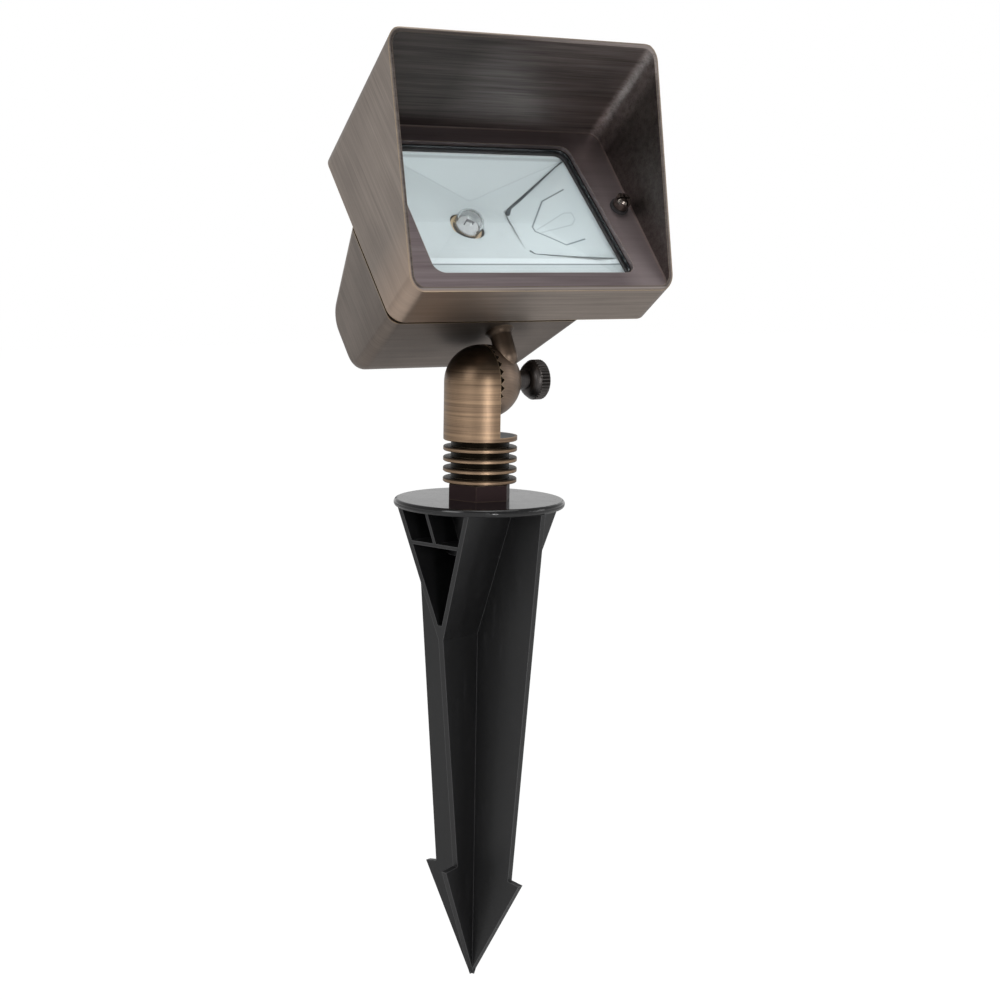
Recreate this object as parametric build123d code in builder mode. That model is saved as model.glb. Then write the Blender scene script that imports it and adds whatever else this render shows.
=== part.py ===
from build123d import *
from math import atan2, cos, degrees, pi, radians, sin, tan
import os

os.makedirs("parts", exist_ok=True)

# Frame: +Z up along the stem, X along the tilt pin, the lamp looks towards -Y.
# The origin is on the stem's axis at the underside of the spike's flange, which lies on the ground.

# Aim of the head, in degrees above level, and the pivot that it tilts on
head_tilt = 41.0
pivot_height = 55.5
running_gap = 0.08
face_gap = 0.06
cut_over = 3.0

# Ground spike
flange_radius = 38.1
flange_thickness = 3.5
flange_round = 1.6
spike_length = 217.0
spike_turn = -74.0
rib_thickness = 2.8
wide_rib_top = 37.4
wide_rib_low = 22.0
wide_barb_reach = 6.4
wide_barb_drop = 168.0
narrow_rib_top = 30.4
narrow_rib_low = 12.4
narrow_barb_reach = 7.6
narrow_barb_drop = 163.4
barb_lip = 1.0
tip_width = 2.0
trough_half_width = 21.0
trough_depth = 57.5
trough_wall = 2.4
pocket_depth = 51.0
shelf_drop = 14.0
shelf_thickness = 1.6
web_top_offset = 5.0
web_thickness = 1.6
web_recess = 1.5
hub_radius = 14.2
hub_length = 21.0
hub_relief = 1.0

# Stem with its cooling rings, and the half ball of the knuckle
stem_radius = 16.4
nipple_radius = 10.6
nipple_length = 16.0
nipple_chamfer = 1.0
hex_across_flats = 25.6
hex_height = 6.9
hex_turn = -8.0
ring_count = 4
ring_thickness = 2.0
ring_pitch = 4.65
first_ring_rise = 7.6
groove_radius = 13.0
collar_rise = 26.2
collar_height = 2.1
edge_break = 0.3
wire_bore_radius = 4.0
wire_bore_offset = 5.2
wire_bore_below_pivot = 5.0

# Teeth and wire race on the two faces of the knuckle
tooth_count = 28
tooth_depth = 1.9
tooth_inner_radius = 12.4
plain_rim = 1.2
race_inner_radius = 6.0
race_outer_radius = 11.2
race_depth = 8.2

# Clamping thumb screw and its washer
screw_radius = 3.0
screw_thread_depth = 10.0
ball_shift = 1.6
boss_reach = 17.2
washer_radius = 5.0
washer_thickness = 1.0
neck_radius = 4.3
neck_length = 4.8
knob_radius = 9.0
knob_thickness = 4.9
knob_back_radius = 8.5
knob_back_length = 3.4
knob_back_curve = 2.2
knob_back_drop = 1.6
knob_break = 0.5
knurl_count = 36
knurl_depth = 0.4

# Upper knuckle arm
arm_x = 8.2
arm_radius = 4.8
arm_foot_radius = 6.6
arm_foot_height = 2.6
arm_cove = 3.4
arm_reach = 15.6
arm_length = 17.5
arm_bore_length = 11.5
nipple_tube_radius = 2.7
nipple_tube_bore = 1.8
nipple_tube_grip = 9.0
locknut_across_flats = 8.2
locknut_height = 3.2
seal_washer_radius = 4.4
seal_washer_thickness = 1.2

# Shroud: hood and bezel in one shell, measured from its back edge, forwards along the aim
back_ahead = 25.3
shroud_offset = 16.0
shroud_width = 135.2
shroud_bottom = 13.9
shroud_height = 94.0
rim_depth_low = 23.1
rim_depth_top = 78.6
side_flare = 2.4
top_flare = 0.8
bottom_flare = 4.6
shroud_wall = 2.0
corner_radius = 7.0
thread_stand = 0.5
bezel_setback = 0.9
bezel_lip = 0.15
bezel_thickness = 2.2
bezel_border_left = 15.2
bezel_border_right_top = 21.0
bezel_border_right_low = 14.8
window_low = 9.1
bezel_border_high = 10.3
window_corner = 5.4

# Lens, its gaskets and the frame that they sit on
lens_side_border = 12.4
lens_margin = 3.0
lens_thickness = 3.0
lens_corner = 1.8
gasket_thickness = 1.0
gasket_lip = 0.8
rear_gasket_thickness = 1.5
sleeve_wall = 1.4

# Housing: a rounded hopper behind the lower part of the shroud
seam_gap = 0.8
housing_step_left = 16.0
housing_step_right = 20.6
housing_taper_left = 6.8
housing_taper_right = 8.2
housing_depth = 51.2
housing_bottom_rise = 9.8
housing_top_step = 38.0
housing_top_drop = 11.6
housing_back_round = 13.0
housing_edge_break = 5.0
housing_wall = 2.2
web_plate_thickness = 3.0
flange_plate_thickness = 2.8
plate_clearance = 0.3
opening_margin_left = 7.0
opening_margin_right = 7.0
opening_low = 31.0
opening_top_margin = 3.5
opening_corner = 3.0

# Bezel screws
bezel_screw_border = 8.3
bezel_screw_hole = 2.2
bezel_screw_shank = 1.9
bezel_screw_length = 14.0
bezel_screw_head_radius = 3.7
bezel_screw_head_height = 5.4
bezel_screw_head_break = 0.8
bezel_slot_width = 1.2
bezel_slot_depth = 1.7
bezel_washer_radius = 4.4
bezel_washer_thickness = 1.4
screw_post_radius = 3.4

# Reflector
reflector_sheet = 0.8
reflector_gap = 0.15
apex_side = 5.1
apex_drop = 20.1
apex_depth = 19.0
apex_land = 3.0
lamp_hole_radius = 8.4
flange_side = 3.0
flange_low = 7.5
flange_high = 2.6
end_plate_sheet = 0.5
end_plate_inner_side = 8.0
end_plate_low = 23.0
end_plate_high_margin = 2.7
end_plate_inner_low = 30.0
end_plate_inner_high = 52.0
end_plate_inner_depth = 3.2
end_plate_lift = -0.3
end_plate_corner = 2.5
tab_reach_shares = [0.271071, 0.601367, 0.863326, 0.567198, 0.271071]
tab_rise_shares = [0.682759, 0.570690, 0.303448, 0.113793, 0.2]
tab_slit = 0.7
tab_rib_length = 19.0
tab_rib_width = 4.6
tab_rib_rise = 0.7

# Lamp, its holder and the bracket behind
lamp_rise = 46.2
lamp_radius = 6.4
lamp_wall = 1.0
lamp_length = 8.6
lamp_tip_round = 4.5
lamp_front_gap = 1.2
pinch_width = 8.6
pinch_height = 3.4
pin_radius = 0.6
pin_spacing = 6.35
pin_length = 6.0
holder_width = 16.0
holder_height = 10.0
holder_depth = 14.0
holder_block_depth = 10.3
holder_collar_radius = 7.6
holder_socket_depth = 3.0
holder_corner = 2.4
bracket_sheet = 1.2
bracket_width = 14.0
bracket_foot = 8.2
bracket_waist = 11.0
small_screw_radius = 1.3
small_screw_length = 5.0
small_head_radius = 2.5
small_head_height = 1.6
small_slot_width = 0.7
holder_screw_spread = 10.6
foot_screw_spread = 6.0
foot_screw_drop = 5.1

# Leads
lead_radius = 0.75
lead_spacing = 1.7
lead_bow = 4.2
lead_drop = 10.0
lead_set_back = 14.0
lead_bend = 2.0

# Cable grommet in the stem's lower end
grommet_flange_radius = 5.2
grommet_flange_thickness = 1.4
grommet_length = 7.0
grommet_bore = 2.6

# Directions of the head: forwards along the aim, and up across it
aim = radians(head_tilt)
forward = Vector(0, -cos(aim), sin(aim))
upward = Vector(0, sin(aim), cos(aim))
pivot = Vector(0, 0, pivot_height)


def lamp_plane(ahead):
    """Plane square to the aim, some way ahead of the pivot: local x is X, local y goes up the lamp's face."""
    return Plane(origin=pivot + forward * ahead, x_dir=(1, 0, 0), z_dir=forward)


side_plane = Plane(origin=pivot, x_dir=forward, z_dir=(-1, 0, 0))
plan_plane = Plane(origin=pivot, x_dir=(1, 0, 0), z_dir=upward * -1)
shroud_top = shroud_bottom + shroud_height
flange_top = flange_thickness
bezel_front = back_ahead + rim_depth_low - bezel_setback
bezel_back = bezel_front - bezel_thickness
lens_front = bezel_back - gasket_thickness
lens_back = lens_front - lens_thickness
sleeve_front = lens_back - rear_gasket_thickness
step_ahead = back_ahead - seam_gap
plate_front = step_ahead + flange_plate_thickness
web_back = step_ahead - web_plate_thickness
screw_height = shroud_bottom + shroud_height / 2
window_left = shroud_width / 2 - bezel_border_left
window_right_top = shroud_width / 2 - bezel_border_right_top
window_right_low = shroud_width / 2 - bezel_border_right_low
window_high = shroud_height - bezel_border_high
lens_width = shroud_width - 2 * lens_side_border
bezel_screw_spread = shroud_width / 2 - bezel_screw_border
housing_left = shroud_width / 2 - housing_step_left
housing_right = shroud_width / 2 - housing_step_right
housing_back_left = housing_left - housing_taper_left
housing_back_right = housing_right - housing_taper_right
housing_top = shroud_top - housing_top_step
opening_high = housing_top - opening_top_margin
lens_low = shroud_bottom + window_low - lens_margin
lens_high = shroud_bottom + window_high + lens_margin
lens_middle = (lens_low + lens_high) / 2
lens_height = lens_high - lens_low


def shroud_outline(depth, inset):
    """Centre, width, height and corner of the shroud some way ahead of its back edge, drawn in by an inset."""
    part_way = depth / rim_depth_top
    low = shroud_bottom - bottom_flare * part_way + inset
    high = shroud_top + top_flare * part_way - inset
    width = shroud_width + 2 * side_flare * part_way - 2 * inset
    return (shroud_offset, (low + high) / 2), width, high - low, corner_radius - inset


def window_points(inset):
    """Corners of the bezel's window, drawn in by an inset."""
    left = shroud_offset - window_left + inset
    low = shroud_bottom + window_low + inset
    high = shroud_bottom + window_high - inset
    return [
        (left, low),
        (shroud_offset + window_right_low - inset, low),
        (shroud_offset + window_right_top - inset, high),
        (left, high),
    ]


def window_side(rise):
    """X of the gasket's right-hand lip at a rise above the shroud's bottom."""
    part_way = (rise - window_low) / (window_high - window_low)
    return shroud_offset + window_right_low + (window_right_top - window_right_low) * part_way - gasket_lip


# Ground spike: a flange on four tapering ribs with barbs, and a V-shaped trough each side of the narrow ribs
spike_plane = Plane(origin=(0, 0, 0), z_dir=(0, 0, 1)).rotated((0, 0, spike_turn))
wide_plane = Plane(origin=(0, 0, 0), x_dir=spike_plane.x_dir, z_dir=spike_plane.y_dir * -1)
narrow_plane = Plane(origin=(0, 0, 0), x_dir=spike_plane.y_dir, z_dir=spike_plane.x_dir)


def rib_points(top, low, reach, drop):
    """Half outline of a rib: straight taper, a barb, and the point."""
    return [
        (0, 0),
        (top, 0),
        (low, -drop),
        (low + reach, -drop - barb_lip),
        (tip_width / 2, -spike_length + tip_width),
        (0, -spike_length),
    ]


def narrow_edge(drop):
    """Distance of the narrow rib's outer edge from the axis at a drop below the flange."""
    return narrow_rib_top - (narrow_rib_top - narrow_rib_low) * drop / narrow_barb_drop


with BuildPart() as pocket:
    # The hollow of the V, seen along the narrow rib: open outwards, its floor just above where the legs meet
    pocket_slope = (trough_half_width - rib_thickness / 2) / trough_depth
    pocket_floor = rib_thickness / 2 - trough_wall + pocket_slope * (trough_depth - pocket_depth)
    with BuildSketch(wide_plane):
        with BuildLine():
            Polyline(
                (0, 0),
                (trough_half_width - trough_wall, 0),
                (pocket_floor, -pocket_depth),
                (0, -pocket_depth),
                close=True,
            )
        make_face()
        mirror(about=Plane.YZ)
    extrude(amount=flange_radius, both=True)

with BuildPart() as trough_walls:
    with BuildSketch(wide_plane):
        with BuildLine():
            Polyline(
                (0, 0),
                (trough_half_width, 0),
                (rib_thickness / 2, -trough_depth),
                (0, -trough_depth),
                close=True,
            )
        make_face()
        mirror(about=Plane.YZ)
    extrude(amount=narrow_rib_top, both=True)
    add(pocket.part, mode=Mode.SUBTRACT)
    # The level shelf across the hollow, and the slanting web above it
    with BuildSketch(wide_plane):
        with Locations((0, -shelf_drop - shelf_thickness / 2)):
            Rectangle(2 * (trough_half_width - pocket_slope * shelf_drop) - trough_wall, shelf_thickness)
        with BuildLine():
            Polyline(
                (-web_top_offset - web_thickness, 0),
                (-web_top_offset, 0),
                (web_thickness / 2, -shelf_drop),
                (-web_thickness / 2, -shelf_drop),
                close=True,
            )
        make_face()
    extrude(amount=narrow_rib_top - web_recess, both=True)
    # Trimmed to the narrow rib's edge line
    with BuildSketch(narrow_plane):
        with BuildLine():
            Polyline(
                (0, 0),
                (narrow_rib_top, 0),
                (narrow_edge(trough_depth), -trough_depth),
                (0, -trough_depth),
                close=True,
            )
        make_face()
        mirror(about=Plane.YZ)
    extrude(amount=flange_radius, both=True, mode=Mode.INTERSECT)

with BuildPart() as spike:
    with BuildSketch(spike_plane):
        Circle(flange_radius)
    extrude(amount=flange_thickness)
    fillet(spike.edges().filter_by(GeomType.CIRCLE), flange_round)
    with BuildSketch(narrow_plane):
        with BuildLine():
            outline = rib_points(narrow_rib_top, narrow_rib_low, narrow_barb_reach, narrow_barb_drop)
            Polyline(*outline, close=True)
        make_face()
        mirror(about=Plane.YZ)
    extrude(amount=rib_thickness / 2, both=True)
    add(pocket.part, mode=Mode.SUBTRACT)
    with BuildSketch(wide_plane):
        with BuildLine():
            outline = rib_points(wide_rib_top, wide_rib_low, wide_barb_reach, wide_barb_drop)
            Polyline(*outline, close=True)
        make_face()
        mirror(about=Plane.YZ)
    extrude(amount=rib_thickness / 2, both=True)
    add(trough_walls.part)
    with BuildSketch(Plane.XY):
        Circle(hub_radius)
    extrude(amount=-hub_length)
    with BuildSketch(Plane.XY.offset(flange_top)):
        Circle(nipple_radius + running_gap)
    extrude(amount=-flange_top - hub_length - hub_relief, mode=Mode.SUBTRACT)
spike.part.label = "spike"
export_step(spike.part, "parts/spike.step")


# Cutter for a face of the knuckle, towards +X: a crown of radial V grooves and the race for the leads
with BuildPart() as tooth_groove:
    for radius in (tooth_inner_radius, stem_radius + cut_over):
        half_width = radius * tan(pi / tooth_count)
        depth = tooth_depth * radius / stem_radius
        lip = cut_over * depth / half_width
        with BuildSketch(Plane(origin=(0, 0, pivot_height + radius), x_dir=(1, 0, 0), z_dir=(0, 0, 1))):
            with BuildLine():
                mouth = half_width + cut_over
                Polyline((depth, 0), (-lip, mouth), (-lip, -mouth), close=True)
            make_face()
    loft()

with BuildPart() as crown_cutter:
    for number in range(tooth_count):
        add(tooth_groove.part.rotate(Axis(pivot, (1, 0, 0)), 360 / tooth_count * (number + 0.5)))
    with BuildSketch(Plane(origin=pivot, z_dir=(1, 0, 0))):
        Circle(race_outer_radius)
        Circle(race_inner_radius, mode=Mode.SUBTRACT)
    extrude(amount=race_depth)
arm_crown = crown_cutter.part.moved(Location((face_gap / 2, 0, 0)))

# The stem's crown stops short of a plain rim
with BuildPart() as crown_limit:
    with BuildSketch(Plane(origin=pivot, z_dir=(-1, 0, 0))):
        Circle(stem_radius - plain_rim)
    extrude(amount=2 * race_depth)
    add(arm_crown.mirror(Plane.YZ), mode=Mode.INTERSECT)
stem_crown = crown_limit.part

# Stem: threaded nipple, hexagon, cooling rings and collar, ending in one half of the ball knuckle
hex_top = flange_top + hex_height
collar_low = flange_top + collar_rise
flat_floor = collar_low + collar_height

with BuildPart() as stem:
    with BuildSketch(Plane.XY.offset(flange_top - nipple_length)):
        Circle(nipple_radius)
    extrude(amount=nipple_length)
    chamfer(stem.edges().group_by(Axis.Z)[0], nipple_chamfer)
    with BuildSketch(Plane.XY.offset(flange_top)) as hexagon:
        RegularPolygon(hex_across_flats / 2, 6, major_radius=False, rotation=hex_turn)
    extrude(amount=hex_height)
    with BuildSketch(Plane.XY.offset(hex_top)):
        Circle(groove_radius)
    extrude(amount=collar_low - hex_top)
    for number in range(ring_count):
        ring_low = flange_top + first_ring_rise + number * ring_pitch
        with BuildSketch(Plane.XY.offset(ring_low)):
            Circle(stem_radius)
        extrude(amount=ring_thickness)
    with BuildSketch(Plane.XY.offset(collar_low)):
        Circle(stem_radius)
    extrude(amount=pivot_height - collar_low)
    circles = stem.edges().filter_by(GeomType.CIRCLE).filter_by(lambda edge: edge.center().Z < flat_floor)
    chamfer(circles.filter_by(lambda edge: edge.radius > stem_radius - edge_break), edge_break)
    with Locations(pivot):
        Sphere(stem_radius, rotation=(0, 90, 0))
    # The half towards +X is cut away above the collar
    with BuildSketch(Plane.XY.offset(flat_floor)):
        with Locations((stem_radius - face_gap / 2, 0)):
            Rectangle(2 * stem_radius, 4 * stem_radius)
    extrude(amount=pivot_height, mode=Mode.SUBTRACT)
    add(stem_crown, mode=Mode.SUBTRACT)
    with BuildSketch(Plane(origin=(0, 0, pivot_height), z_dir=(-1, 0, 0))):
        Circle(screw_radius + running_gap)
    extrude(amount=screw_thread_depth + screw_radius, mode=Mode.SUBTRACT)
    with BuildSketch(Plane.XY.offset(flange_top - nipple_length)):
        with Locations((-wire_bore_offset, 0)):
            Circle(wire_bore_radius)
    extrude(amount=pivot_height - wire_bore_below_pivot - flange_top + nipple_length, mode=Mode.SUBTRACT)
stem.part.label = "stem"
export_step(stem.part, "parts/stem.step")

with BuildPart() as cable_grommet:
    with BuildSketch(Plane.XY.offset(flange_top - nipple_length)):
        with Locations((-wire_bore_offset, 0)):
            Circle(wire_bore_radius)
    extrude(amount=grommet_length)
    with BuildSketch(Plane.XY.offset(flange_top - nipple_length)):
        with Locations((-wire_bore_offset, 0)):
            Circle(grommet_flange_radius)
    extrude(amount=-grommet_flange_thickness)
    with BuildSketch(Plane.XY.offset(flange_top - nipple_length - grommet_flange_thickness)):
        with Locations((-wire_bore_offset, 0)):
            Circle(grommet_bore)
    extrude(amount=grommet_length + grommet_flange_thickness, mode=Mode.SUBTRACT)
cable_grommet.part.label = "cable_grommet"
export_step(cable_grommet.part, "parts/cable_grommet.step")


# Housing: hopper, flange plate inside the shroud's back edge, frame for the lens and posts for the screws
housing_back = step_ahead - housing_depth
bottom_slope = housing_bottom_rise / housing_depth
top_slope = housing_top_drop / housing_depth
housing_span = housing_left + housing_right
housing_centre = (housing_right - housing_left) / 2
sleeve_width = lens_width - 2 * sleeve_wall
sleeve_height = lens_height - 2 * sleeve_wall


def hopper(inset):
    """Solid of the hopper, drawn in by an inset on every side but the front."""
    with BuildPart() as block:
        with BuildSketch(side_plane):
            with BuildLine():
                Polyline(
                    (step_ahead, shroud_bottom + inset),
                    (housing_back + inset, shroud_bottom + inset + bottom_slope * (housing_depth - inset)),
                    (housing_back + inset, housing_top - inset - top_slope * (housing_depth - inset)),
                    (step_ahead, housing_top - inset),
                    close=True,
                )
            outline = make_face()
            fillet(outline.vertices().sort_by(Axis.X)[:2], housing_back_round - inset)
        extrude(amount=housing_span, both=True)
        with BuildSketch(plan_plane):
            with BuildLine():
                Polyline(
                    (inset - housing_left, step_ahead),
                    (inset - housing_back_left, housing_back + inset),
                    (housing_back_right - inset, housing_back + inset),
                    (housing_right - inset, step_ahead),
                    close=True,
                )
            make_face()
        extrude(amount=2 * shroud_top, both=True, mode=Mode.INTERSECT)
        sides = block.faces().group_by(Axis.X)
        seams = sides[0].edges() + sides[-1].edges()
        front_face = block.faces().sort_by(Axis(pivot, forward))[-1]
        seams = [edge for edge in seams if edge not in front_face.edges()]
        fillet(seams, housing_edge_break - inset / 2)
    return block.part


foot_top = opening_low
bracket_low = foot_top - bracket_foot
foot_screw_place = (0, foot_top - foot_screw_drop)
hopper_outside = hopper(0)
hopper_inside = hopper(housing_wall)
foot_plane = Plane(
    origin=pivot + Vector(arm_x, 0, 0) + forward * arm_reach
    + upward * (shroud_bottom + bottom_slope * (step_ahead - arm_reach)),
    x_dir=(1, 0, 0),
    z_dir=forward * bottom_slope + upward,
)
post_places = [(shroud_offset + way * bezel_screw_spread, screw_height) for way in (-1, 1)]

with BuildPart() as housing:
    add(hopper_outside)
    add(hopper_inside, mode=Mode.SUBTRACT)
    # Web across the mouth of the hopper, and the plate that closes the rest of the shroud's back
    with BuildSketch(lamp_plane(web_back)):
        with Locations((housing_centre, (shroud_bottom + housing_top) / 2)):
            RectangleRounded(
                housing_span - housing_wall,
                housing_top - shroud_bottom - housing_wall,
                housing_edge_break,
            )
    extrude(amount=web_plate_thickness)
    inner = shroud_wall + plate_clearance
    with BuildSketch(lamp_plane(step_ahead)):
        with Locations((shroud_offset, shroud_bottom + shroud_height / 2)):
            RectangleRounded(shroud_width - 2 * inner, shroud_height - 2 * inner, corner_radius - shroud_wall)
    extrude(amount=flange_plate_thickness)
    # Frame up to the lens
    with BuildSketch(lamp_plane(plate_front)):
        with Locations((shroud_offset, lens_middle)):
            RectangleRounded(lens_width, lens_height, lens_corner)
    extrude(amount=sleeve_front - plate_front)
    with BuildSketch(lamp_plane(plate_front)):
        with Locations(*post_places):
            Circle(screw_post_radius)
    extrude(amount=bezel_back - plate_front)
    with BuildSketch(lamp_plane(plate_front)):
        with Locations((shroud_offset, lens_middle)):
            RectangleRounded(sleeve_width, sleeve_height, lens_corner - sleeve_wall)
    extrude(amount=sleeve_front - plate_front + cut_over, mode=Mode.SUBTRACT)
    # Mouth between the lamp chamber and the hopper
    mouth_left = opening_margin_left - housing_left
    mouth_right = housing_right - opening_margin_right
    with BuildSketch(lamp_plane(web_back - cut_over)):
        with Locations(((mouth_left + mouth_right) / 2, (opening_low + opening_high) / 2)):
            RectangleRounded(mouth_right - mouth_left, opening_high - opening_low, opening_corner)
    extrude(amount=plate_front - web_back + 2 * cut_over, mode=Mode.SUBTRACT)
    with BuildSketch(lamp_plane(bezel_back)):
        with Locations(*post_places):
            Circle(bezel_screw_shank + running_gap)
    extrude(amount=-bezel_screw_length, mode=Mode.SUBTRACT)
    with BuildSketch(lamp_plane(web_back)):
        with Locations(foot_screw_place):
            with GridLocations(foot_screw_spread, 0, 2, 1):
                Circle(small_screw_radius + running_gap)
    extrude(amount=web_plate_thickness, mode=Mode.SUBTRACT)
    with BuildSketch(foot_plane):
        Circle(nipple_tube_radius + running_gap)
    extrude(amount=2 * housing_wall, both=True, mode=Mode.SUBTRACT)
housing.part.label = "housing"
export_step(housing.part, "parts/housing.step")

# Upper half of the knuckle: half ball with its crown of teeth, flat seat for the washer, and the head's neck
tooth_face = Plane(origin=pivot + Vector(face_gap / 2, 0, 0), z_dir=(1, 0, 0))
boss_face = Plane(origin=pivot + Vector(boss_reach, 0, 0), x_dir=(0, 1, 0), z_dir=(1, 0, 0))
with BuildPart() as knuckle_arm:
    with Locations(pivot + Vector(face_gap / 2 + ball_shift, 0, 0)):
        Sphere(stem_radius, rotation=(0, 90, 0))
    with BuildSketch(tooth_face):
        Circle(2 * stem_radius)
    extrude(amount=-2 * stem_radius, mode=Mode.SUBTRACT)
    with BuildSketch(tooth_face):
        Circle(stem_radius)
    extrude(amount=ball_shift)
    with BuildSketch(boss_face):
        Circle(stem_radius)
    extrude(amount=stem_radius, mode=Mode.SUBTRACT)
    # Neck with a flared foot against the housing, turned about its own axis
    with BuildSketch(Plane(origin=foot_plane.origin, x_dir=(1, 0, 0), z_dir=foot_plane.y_dir)):
        with BuildLine():
            Polyline((0, 0), (arm_foot_radius, 0))
            RadiusArc((arm_foot_radius, 0), (arm_radius, arm_foot_height), arm_cove)
            Line((arm_radius, arm_foot_height), (arm_radius, arm_length - arm_radius))
            RadiusArc((arm_radius, arm_length - arm_radius), (0, arm_length), -arm_radius)
            Line((0, arm_length), (0, 0))
        make_face()
    revolve(axis=Axis(foot_plane.origin, foot_plane.z_dir))
    add(arm_crown, mode=Mode.SUBTRACT)
    with BuildSketch(Plane(origin=pivot, z_dir=(1, 0, 0))):
        Circle(screw_radius + running_gap)
    extrude(amount=boss_reach + cut_over, mode=Mode.SUBTRACT)
    with BuildSketch(foot_plane):
        Circle(nipple_tube_radius + running_gap)
    extrude(amount=-nipple_tube_grip, mode=Mode.SUBTRACT)
    with BuildSketch(foot_plane):
        Circle(nipple_tube_bore)
    extrude(amount=-arm_bore_length, mode=Mode.SUBTRACT)
knuckle_arm.part.label = "knuckle_arm"
export_step(knuckle_arm.part, "parts/knuckle_arm.step")

# Hollow nipple, seal and locknut that hold the arm to the housing's floor
inner_floor = foot_plane.offset(housing_wall)
seal_top = foot_plane.offset(housing_wall + seal_washer_thickness)
with BuildPart() as arm_nipple:
    with BuildSketch(foot_plane.offset(-nipple_tube_grip)):
        Circle(nipple_tube_radius)
        Circle(nipple_tube_bore, mode=Mode.SUBTRACT)
    extrude(amount=nipple_tube_grip + housing_wall + seal_washer_thickness + locknut_height + thread_stand)
arm_nipple.part.label = "arm_nipple"
export_step(arm_nipple.part, "parts/arm_nipple.step")

with BuildPart() as arm_seal:
    with BuildSketch(inner_floor):
        Circle(seal_washer_radius)
        Circle(nipple_tube_radius + running_gap, mode=Mode.SUBTRACT)
    extrude(amount=seal_washer_thickness)
arm_seal.part.label = "arm_seal"
export_step(arm_seal.part, "parts/arm_seal.step")

with BuildPart() as arm_locknut:
    with BuildSketch(seal_top):
        RegularPolygon(locknut_across_flats / 2, 6, major_radius=False)
        Circle(nipple_tube_radius + running_gap, mode=Mode.SUBTRACT)
    extrude(amount=locknut_height)
arm_locknut.part.label = "arm_locknut"
export_step(arm_locknut.part, "parts/arm_locknut.step")

# Washer and thumb screw on the pivot axis
with BuildPart() as clamp_washer:
    with BuildSketch(boss_face):
        Circle(washer_radius)
        Circle(screw_radius + running_gap, mode=Mode.SUBTRACT)
    extrude(amount=washer_thickness)
clamp_washer.part.label = "clamp_washer"
export_step(clamp_washer.part, "parts/clamp_washer.step")

screw_seat = boss_reach + washer_thickness
knob_start = screw_seat + neck_length + knob_back_length
screw_profile_plane = Plane(origin=pivot, x_dir=(1, 0, 0), z_dir=(0, -1, 0))
with BuildPart() as thumb_screw:
    with BuildSketch(screw_profile_plane):
        with BuildLine():
            Polyline(
                (-screw_thread_depth, 0),
                (-screw_thread_depth, screw_radius),
                (screw_seat, screw_radius),
                (screw_seat, neck_radius),
                (screw_seat + neck_length, neck_radius),
            )
            ThreePointArc(
                (screw_seat + neck_length, neck_radius),
                (knob_start - knob_back_curve, knob_back_radius - knob_back_drop),
                (knob_start, knob_back_radius),
            )
            Polyline(
                (knob_start, knob_back_radius),
                (knob_start + knob_break, knob_radius),
                (knob_start + knob_thickness - knob_break, knob_radius),
                (knob_start + knob_thickness, knob_radius - knob_break),
                (knob_start + knob_thickness, 0),
                (-screw_thread_depth, 0),
            )
        make_face()
    revolve(axis=Axis(pivot, (1, 0, 0)))
    with BuildSketch(Plane(origin=pivot + Vector(knob_start, 0, 0), x_dir=(0, 1, 0), z_dir=(1, 0, 0))):
        with PolarLocations(knob_radius, knurl_count):
            Rectangle(knurl_depth * 2, knurl_depth * 2, rotation=45)
    extrude(amount=knob_thickness, mode=Mode.SUBTRACT)
thumb_screw.part.label = "thumb_screw"
export_step(thumb_screw.part, "parts/thumb_screw.step")

# Shroud: hood on three sides of the bezel, cut off along a slanting rim
with BuildPart() as shroud:
    for depth in (0, rim_depth_top):
        middle, width, height, radius = shroud_outline(depth, 0)
        with BuildSketch(lamp_plane(back_ahead + depth)):
            with Locations(middle):
                RectangleRounded(width, height, radius)
    loft()
    behind_bezel = (-cut_over, bezel_back - back_ahead)
    before_bezel = (bezel_front - back_ahead, rim_depth_top + cut_over)
    for depths in (behind_bezel, before_bezel):
        for depth in depths:
            middle, width, height, radius = shroud_outline(depth, shroud_wall)
            with BuildSketch(lamp_plane(back_ahead + depth)):
                with Locations(middle):
                    RectangleRounded(width, height, radius)
        loft(mode=Mode.SUBTRACT)
    with BuildSketch(side_plane):
        with BuildLine():
            Polyline(
                (bezel_front + bezel_lip, -shroud_height),
                (bezel_front + bezel_lip, shroud_bottom - shroud_wall / 2),
                (back_ahead + rim_depth_top, shroud_top),
                (back_ahead + 2 * rim_depth_top - rim_depth_low, 2 * shroud_top - shroud_bottom),
                (back_ahead + 3 * rim_depth_top, -shroud_height),
                close=True,
            )
        make_face()
    extrude(amount=shroud_width + shroud_offset, both=True, mode=Mode.SUBTRACT)
    with BuildSketch(lamp_plane(bezel_front)) as window:
        with BuildLine():
            Polyline(*window_points(0), close=True)
        make_face()
        fillet(window.vertices(), window_corner)
    extrude(amount=-bezel_thickness, mode=Mode.SUBTRACT)
    with BuildSketch(lamp_plane(bezel_front)):
        with Locations(*post_places):
            Circle(bezel_screw_hole)
    extrude(amount=-bezel_thickness, mode=Mode.SUBTRACT)
shroud.part.label = "shroud"
export_step(shroud.part, "parts/shroud.step")

# Lens and its two gaskets
with BuildPart() as lens:
    with BuildSketch(lamp_plane(lens_back)):
        with Locations((shroud_offset, lens_middle)):
            RectangleRounded(lens_width, lens_height, lens_corner)
    extrude(amount=lens_thickness)
lens.part.label = "lens"
export_step(lens.part, "parts/lens.step")

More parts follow.
